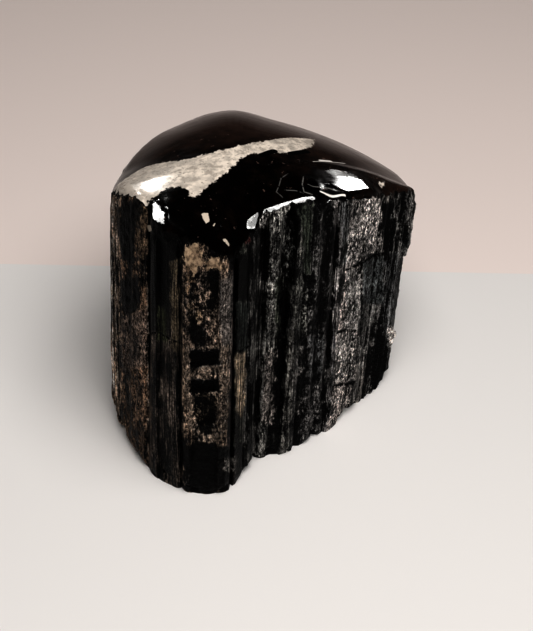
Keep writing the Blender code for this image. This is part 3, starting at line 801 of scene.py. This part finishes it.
def crystal_looks(x, y, z, bands, seen):
    """What the material needs to know at each point of the skin."""
    looks = {name: np.zeros(x.shape) for name in ("polish", "grain", "drawn")}
    looks["polish"][:, SIDE_ROWS:] = 1.0
    looks["grain"][:, :SIDE_ROWS] = bands[..., GRAIN]
    looks["drawn"][:, :SIDE_ROWS] = bands[..., DRAWN]
    looks["tint"] = np.zeros((*x.shape, 4))
    looks["tint"][:, :SIDE_ROWS, :3] = bands[..., TINT]

    depth = inside_depth(VEIN, x, y)
    for sliver in SLIVERS:
        depth = np.maximum(depth, inside_depth(sliver, x, y) - 0.1)
    looks["vein"] = depth + 0.45 * fractal(x / 1.6, y / 1.6, z / 1.6, 3, 51)
    looks["vein"][:, :SIDE_ROWS] = OUTSIDE

    u, v = photo_place(x, y, z)
    ragged = fractal(u / 3.0, v / 3.0, 0.0, 3, 67)
    looks["tan"] = traced_depth(TAN, u, v, seen, ragged)
    # Cream chips, and one painted highlight among them.
    looks["cream"] = traced_depth(CREAM_CHIPS_AND_HIGHLIGHT, u, v, seen, 0.3 * ragged)
    looks["dull"] = traced_depth(DULL, u, v, seen)
    for name, outline, *_ in FLAKES:
        looks[name] = traced_depth([outline], u, v, seen)
    return looks


def build_crystal(tree):
    """Looks and places of all points, column by column from the foot to the crown."""
    bearings = column_bearings(tree)
    cos, sin = np.cos(bearings)[:, None], np.sin(bearings)[:, None]
    heights = np.arange(*HEIGHT_RANGE, HEIGHT_STEP)
    table = side_reaches(tree, bearings, heights)
    seen = is_front(bearings)[:, None]
    front = np.clip(mean_over_columns(seen * 1.0, FRONT_BLEND) * 2.0 - 1.0, 0.0, 1.0)

    top = side_tops(table, heights, cos, sin)
    lowered = rim_lowering(table, top, cos, sin, seen, front)
    top = (top - lowered)[:, None]
    side_z = top * np.linspace(0.0, 1.0, SIDE_ROWS)[None, :]
    run = run_round(table, cos, sin)
    reach = lookup(table, heights, side_z)
    side_x, side_y, bands = side_skin(reach, side_z, top, run, cos, sin, seen, front)
    dome = dome_skin(side_x[:, -1:], side_y[:, -1:], run, lowered, seen)

    x, y, z = (np.concatenate(pair, axis=1) for pair in zip((side_x, side_y, side_z), dome))
    return crystal_looks(x, y, z, bands, seen), x, y, z


def crystal_mesh(x, y, z, box):
    """Closed mesh from the columns, with a flat base and a crown point, kept inside the box."""
    n, rows = x.shape
    ring = np.stack([x, y, z], axis=-1).reshape(-1, 3)
    foot = np.array([*AXIS, 0.0])
    foot_ring = foot + (np.stack([x[:, 0], y[:, 0], 0 * z[:, 0]], axis=-1) - foot) * BASE_RING
    crown = [x[:, -1].mean(), y[:, -1].mean(), z[:, -1].mean()]
    points = np.concatenate([ring, foot_ring, [crown, foot]])
    points = np.clip(points, np.array(box[0]) / METRES, np.array(box[1]) / METRES)
    index = np.arange(n * rows).reshape(n, rows)
    after = np.roll(index, -1, axis=0)
    quads = np.stack([index[:, :-1], after[:, :-1], after[:, 1:], index[:, 1:]], axis=-1)
    low = n * rows + np.arange(n)
    low_after = np.roll(low, -1)
    base = np.stack([low, low_after, after[:, 0], index[:, 0]], axis=-1)
    quads = np.concatenate([quads.reshape(-1, 4), base])
    crown_at, foot_at = len(points) - 2, len(points) - 1
    tops = np.stack([index[:, -1], after[:, -1], np.full(n, crown_at)], axis=-1)
    bottoms = np.stack([low_after, low, np.full(n, foot_at)], axis=-1)
    mesh = bpy.data.meshes.new("crystal")
    faces = quads.tolist() + tops.tolist() + bottoms.tolist()
    mesh.from_pydata((points * METRES).tolist(), [], faces)
    smooth_faces = np.zeros(len(mesh.polygons), bool)
    smooth_faces[:n * (rows - 1)] = np.tile(np.arange(rows - 1) >= SIDE_ROWS, n)
    smooth_faces[len(quads):len(quads) + n] = True
    mesh.polygons.foreach_set("use_smooth", smooth_faces)
    mesh.update()
    return mesh


def add_looks(mesh, looks):
    """Stores the looks of each vertex on the mesh for the material."""
    for name, values in looks.items():
        colored = values.ndim == 3
        flat = values.reshape(-1, 4) if colored else values.reshape(-1)
        kind = "FLOAT_COLOR" if colored else "FLOAT"
        spare = len(mesh.vertices) - len(flat)
        tail = np.repeat(flat[-1:], spare, axis=0)
        layer = mesh.attributes.new(name, kind, "POINT")
        layer.data.foreach_set("color" if colored else "value", np.concatenate([flat, tail]).ravel())


class Nodes:
    """Short ways to add nodes to one material and wire them."""

    def __init__(self, name):
        self.material = bpy.data.materials.new(name)
        self.material.use_nodes = True
        self.tree = self.material.node_tree
        self.tree.nodes.clear()
        where = self.put("ShaderNodeTexCoord").outputs["Object"]
        self.place = self.vector("MULTIPLY", where, (1.0 / METRES,) * 3)

    def put(self, kind, options=(), **inputs):
        """Adds a node. An input named i and a number is given by its place in the list."""
        made = self.tree.nodes.new(kind)
        for key, value in dict(options).items():
            setattr(made, key, value)
        for key, value in inputs.items():
            numbered = key[0] == "i" and key[1:].isdigit()
            socket = made.inputs[int(key[1:]) if numbered else key.replace("_", " ")]
            if isinstance(value, bpy.types.NodeSocket):
                self.tree.links.new(value, socket)
            else:
                socket.default_value = value
        return made

    def look(self, name, output="Fac"):
        return self.put("ShaderNodeAttribute", {"attribute_name": name}).outputs[output]

    def math(self, operation, a, b):
        return self.put("ShaderNodeMath", {"operation": operation}, i0=a, i1=b).outputs[0]

    def plus(self, a, b):
        return self.math("ADD", a, b)

    def times(self, a, b):
        return self.math("MULTIPLY", a, b)

    def weighted(self, a, share_a, b, share_b):
        return self.plus(self.times(a, share_a), self.times(b, share_b))

    def between(self, value, low, high, to_low=0.0, to_high=1.0):
        """Smooth ramp of a value from one range to another."""
        ramp = self.put("ShaderNodeMapRange", {"interpolation_type": "SMOOTHSTEP"}, Value=value)
        ends = {"From Min": low, "From Max": high, "To Min": to_low, "To Max": to_high}
        for key, v in ends.items():
            ramp.inputs[key].default_value = v
        return ramp.outputs["Result"]

    def mix(self, share, a, b):
        return self.put("ShaderNodeMix", {"data_type": "RGBA"}, i0=share, i6=a, i7=b).outputs[2]

    def blend(self, share, a, b):
        return self.put("ShaderNodeMix", {"data_type": "FLOAT"}, i0=share, i2=a, i3=b).outputs[0]

    def vector(self, operation, a, b):
        second = {"i3" if operation == "SCALE" else "i1": b}
        made = self.put("ShaderNodeVectorMath", {"operation": operation}, i0=a, **second)
        return made.outputs["Value" if operation in ("DOT_PRODUCT", "DISTANCE") else "Vector"]

    def noise(self, factors, detail, rough=0.55):
        """Random values around 0.5, with so many changes per millimetre."""
        made = self.put("ShaderNodeTexNoise", Vector=self.vector("MULTIPLY", self.place, factors))
        made.inputs["Scale"].default_value = 1.0
        made.inputs["Detail"].default_value = detail
        made.inputs["Roughness"].default_value = rough
        return made.outputs["Fac"]

    def field(self, name):
        """One of the random fields, spread over its range."""
        factors, detail, rough, *spread = FIELDS[name]
        return self.between(self.noise(factors, detail, rough), *spread)


def crack_distance(n, flat, skin, course):
    """Distance in plan from the place to a crack, a polyline laid on the skin."""
    spots = [Vector((*seen_at(skin, spot)[1].xy, 0.0)) for spot in course]
    nearest = None
    for start, end in zip(spots, spots[1:]):
        along = end - start
        away = n.vector("SUBTRACT", flat, start)
        share = n.vector("DOT_PRODUCT", away, along / along.length_squared)
        clamped = {"operation": "MULTIPLY", "use_clamp": True}
        share = n.put("ShaderNodeMath", clamped, i0=share, i1=1.0).outputs[0]
        gap = n.vector("DISTANCE", away, n.vector("SCALE", along, share))
        nearest = gap if nearest is None else n.math("MINIMUM", nearest, gap)
    return nearest


def side_color(n, cover, shine):
    """Natural side: soft grey or brown grain over black, with painted glints and tan crusts."""
    tint = n.look("tint", "Color")
    strength = n.plus(n.times(shine, SHINE_GAIN), SHINE_BASE)
    strength = n.times(n.times(strength, n.field("fine")), n.field("cloudy"))
    side = n.mix(cover, SIDE_BLACK, n.vector("SCALE", tint, strength))
    # Painted glints: bright flecks on the grain, standing in for light caught by small facets.
    painted_glint = n.times(n.field("painted_glint"), n.between(n.look("grain"), 0.12, 0.75))
    glint_color = n.vector("SCALE", tint, PAINTED_GLINT_GAIN)
    glint_color = n.put("ShaderNodeHueSaturation", Saturation=PAINTED_GLINT_SATURATION, Color=glint_color)
    side = n.mix(n.times(painted_glint, 0.85), side, glint_color.outputs["Color"])
    crust = n.between(n.plus(n.look("tan"), n.field("crust_edge")), -0.4, 0.4)
    return n.mix(crust, side, n.mix(n.field("crust_tone"), CRUST_PALE, CRUST_DARK))


def dome_color(n, band, skin):
    """Polished dome: black with a brown cast, partly its own tone and partly painted sheen that grows
    towards the back, the cream vein, dust and fine cracks.
    """
    back = n.put("ShaderNodeSeparateXYZ", Vector=n.place).outputs["Y"]
    # Painted sheen: the brown cast grows towards the back, where the polish catches light at a low
    # angle.
    brown = n.plus(n.between(back, *BROWN_SHEEN_FROM_TO), n.noise((0.30, 0.30, 0.30), 4.0))
    dome = n.mix(n.between(brown, 0.45, 1.5), DOME_BLACK, DOME_BROWN_SHEEN)
    cream = n.mix(n.field("cream_tone"), CREAM_PALE, CREAM_DARK)
    cream = n.mix(n.times(n.field("cream_cloud"), 0.6), cream, CREAM_CLOUD)
    cream = n.mix(n.field("cream_spots"), cream, CREAM_SPOT)
    dome = n.mix(band, dome, cream)
    dome = n.mix(n.times(n.field("dust"), 0.7), dome, DUST)
    flat = n.vector("MULTIPLY", n.place, (1.0, 1.0, 0.0))
    broken = n.field("broken")
    for course, half_width, paleness in POLISH_CRACKS:
        held = n.between(crack_distance(n, flat, skin, course), half_width + 0.10, half_width - 0.04)
        if half_width < BROKEN_WIDTH and paleness < BROKEN_PALENESS:
            held = n.times(held, broken)
        dome = n.mix(held, dome, (paleness, 0.96 * paleness, 0.91 * paleness, 1.0))
    return dome


def glossy(n, level, **inputs):
    """Surface with a fixed strength of its reflections."""
    made = n.put("ShaderNodeBsdfPrincipled", **inputs)
    made.inputs["Specular IOR Level"].default_value = level
    return made.outputs["BSDF"]


def simple_material(name, color):
    """Even matt colour."""
    n = Nodes(name)
    n.put("ShaderNodeOutputMaterial", Surface=glossy(n, 0.0, Base_Color=(*color, 1.0), Roughness=0.7))
    return n.material


def crystal_material(skin):
    """Material of the whole crystal, led by the looks stored on the mesh."""
    n = Nodes("crystal")
    polish = n.look("polish")
    speck, streak = n.field("speck"), n.field("streak")
    lines = n.weighted(streak, 0.75, speck, 0.25)
    grit = n.weighted(speck, 0.8, streak, 0.2)
    texture = n.blend(n.look("drawn"), grit, lines)
    cover = n.plus(n.plus(texture, n.look("grain")), n.field("blot"))
    cover = n.between(cover, *COVER_FROM_TO)
    band = n.between(n.plus(n.look("vein"), n.field("vein_edge")), -0.12, 0.22)

    side = side_color(n, cover, n.times(texture, texture))
    color = n.mix(polish, side, dome_color(n, band, skin))
    # Cream chips and one painted highlight, in the same pale colour.
    color = n.mix(n.between(n.look("cream"), -0.3, 0.3), color, CHIP_AND_HIGHLIGHT)

    matt = n.blend(cover, 0.32, 0.55)
    gloss = n.blend(band, n.field("gloss"), 0.26)
    roughness = n.blend(polish, matt, gloss)
    relief = n.weighted(speck, 0.10, streak, 0.05)
    scratches = n.times(n.noise((0.40, 3.0, 3.0), 3.0, 0.6), 0.007)
    bump = n.put("ShaderNodeBump", Height=n.blend(polish, relief, scratches))
    bump.inputs["Strength"].default_value = 0.8
    bump.inputs["Distance"].default_value = METRES
    facing = bump.outputs["Normal"]
    dull = n.between(n.look("dull"), -4.0, 3.0)
    for name, _, slope_x, slope_y, *_ in FLAKES:
        depth = n.look(name)
        dull = n.blend(n.between(depth, -0.9, 0.0), dull, 0.0)
        tilted = Vector((-slope_x, -slope_y, 1.0)).normalized()
        tilted = n.put("ShaderNodeCombineXYZ", X=tilted.x, Y=tilted.y, Z=tilted.z).outputs["Vector"]
        facing = n.mix(n.between(depth, -0.4, 0.4), facing, tilted)

    skin_look = {"Base_Color": color, "Roughness": roughness}
    natural = glossy(n, NATURAL_LEVEL, Normal=bump.outputs["Normal"], **skin_look)
    polished = glossy(n, POLISHED_LEVEL, Normal=facing, **skin_look)
    rubbed = n.put("ShaderNodeBsdfDiffuse", Color=color).outputs["BSDF"]
    surface = n.put("ShaderNodeMixShader", i0=polish, i1=natural, i2=polished).outputs["Shader"]
    surface = n.put("ShaderNodeMixShader", i0=n.times(polish, dull), i1=surface, i2=rubbed)
    n.put("ShaderNodeOutputMaterial", Surface=surface.outputs["Shader"])
    return n.material


def add_object(name, data):
    """New object in the scene."""
    made = bpy.data.objects.new(name, data)
    bpy.context.collection.objects.link(made)
    return made


def add_camera():
    """Camera at the photo's place and angle."""
    data = bpy.data.cameras.new("camera")
    data.sensor_width = SENSOR
    data.lens = FOCAL_PIXELS / PHOTO_HEIGHT * SENSOR
    data.clip_start = 0.01
    data.clip_end = 20.0
    camera = add_object("camera", data)
    across, below, ahead = camera_axes()
    turn = Matrix((across, -below, -ahead)).transposed()
    camera.matrix_world = Matrix.Translation(Vector(CAMERA_PLACE) * METRES) @ turn.to_4x4()
    bpy.context.scene.camera = camera


def add_light(name, place, aim, size, power, color, lit):
    """Area light. lit says whether it lights matt surfaces or shows in glossy ones."""
    data = bpy.data.lights.new(name, "AREA")
    data.shape = "RECTANGLE"
    data.size, data.size_y = size[0] * METRES, size[1] * METRES
    data.energy = power
    data.color = color
    light = add_object(name, data)
    light.location = Vector(place) * METRES
    way = (Vector(aim) - Vector(place)).normalized()
    light.rotation_mode = "QUATERNION"
    light.rotation_quaternion = way.to_track_quat("-Z", "Y")
    light.visible_diffuse = lit == "matt"
    light.visible_glossy = lit == "glossy"
    light.visible_camera = False


def seen_at(skin, spot):
    """The camera's ray through a pixel of the photo, and what it meets."""
    across, below, ahead = camera_axes()
    u, v = spot[0] - PHOTO_WIDTH / 2, spot[1] - PHOTO_HEIGHT / 2
    ray = (ahead * FOCAL_PIXELS + across * u + below * v).normalized()
    place, normal = skin.ray_cast(Vector(CAMERA_PLACE), ray)[:2]
    return ray, place, normal


def add_mirrored_lamp(name, ray, place, normal, distance, size, power):
    """Lamp so placed that the polish mirrors it towards the camera."""
    out = ray - normal * (2.0 * ray.dot(normal))
    add_light(name, place + out * distance, place, size, power, WHITE, "glossy")


def add_lamps(skin):
    """Lamps that show only as reflections in the polish."""
    for name, spot, distance, size, power in LAMPS:
        probes = [seen_at(skin, (spot[0] + du, spot[1] + dv)) for du, dv in SPOT_PROBES]
        normal = sum((probe[2] for probe in probes), Vector()).normalized()
        add_mirrored_lamp(name, *probes[0][:2], normal, distance, size, power)
    for name, outline, slope_x, slope_y, size, power in FACETS + FLAKES:
        ray, place, _ = seen_at(skin, np.mean(outline, axis=0))
        normal = Vector((-slope_x, -slope_y, 1.0)).normalized()
        add_mirrored_lamp("lamp_" + name, ray, place, normal, FACET_LAMP_DISTANCE, size, power)


def add_stage():
    """Flat floor in two tones, which meet on a straight line behind the crystal."""
    lean = math.tan(math.radians(FLOOR_LINE_TURN))
    rows = [(-FLOOR_HALF, 0.0), (FLOOR_LINE, lean), (FLOOR_HALF, 0.0)]
    points = [(x * METRES, (y + x * slope) * METRES, 0.0)
              for y, slope in rows for x in (-FLOOR_HALF, FLOOR_HALF)]
    mesh = bpy.data.meshes.new("backdrop")
    mesh.from_pydata(points, [], [(0, 1, 3, 2), (2, 3, 5, 4)])
    mesh.materials.append(simple_material("table", NEAR_TONE))
    mesh.materials.append(simple_material("wall", FAR_TONE))
    mesh.polygons[1].material_index = 1
    stage = add_object("backdrop", mesh)


def set_world():
    """Faint even light from all round, and how the picture is shown."""
    world = bpy.data.worlds.new("world")
    world.use_nodes = True
    background = world.node_tree.nodes["Background"]
    background.inputs["Color"].default_value = WORLD_COLOR
    background.inputs["Strength"].default_value = WORLD_STRENGTH
    bpy.context.scene.world = world
    bpy.context.scene.view_settings.view_transform = "Standard"
    bpy.context.scene.view_settings.gamma = GAMMA


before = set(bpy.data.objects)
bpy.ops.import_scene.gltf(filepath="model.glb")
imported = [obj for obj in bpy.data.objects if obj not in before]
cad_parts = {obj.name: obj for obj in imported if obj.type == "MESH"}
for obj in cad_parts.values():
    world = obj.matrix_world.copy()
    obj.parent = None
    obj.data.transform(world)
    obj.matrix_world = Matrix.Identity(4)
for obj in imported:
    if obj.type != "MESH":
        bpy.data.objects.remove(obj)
CAD_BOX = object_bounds()

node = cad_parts[NODE]
looks, grid_x, grid_y, grid_z = build_crystal(search_tree(node.data, node.matrix_world))
mesh = crystal_mesh(grid_x, grid_y, grid_z, CAD_BOX)
skin = search_tree(mesh)
mesh.materials.append(crystal_material(skin))
add_looks(mesh, looks)
crystal = add_object("crystal", mesh)
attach(crystal, "root")
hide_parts(NODE)

add_camera()
add_stage()
add_light("window", *WINDOW, WARM, "matt")
add_lamps(skin)
set_world()
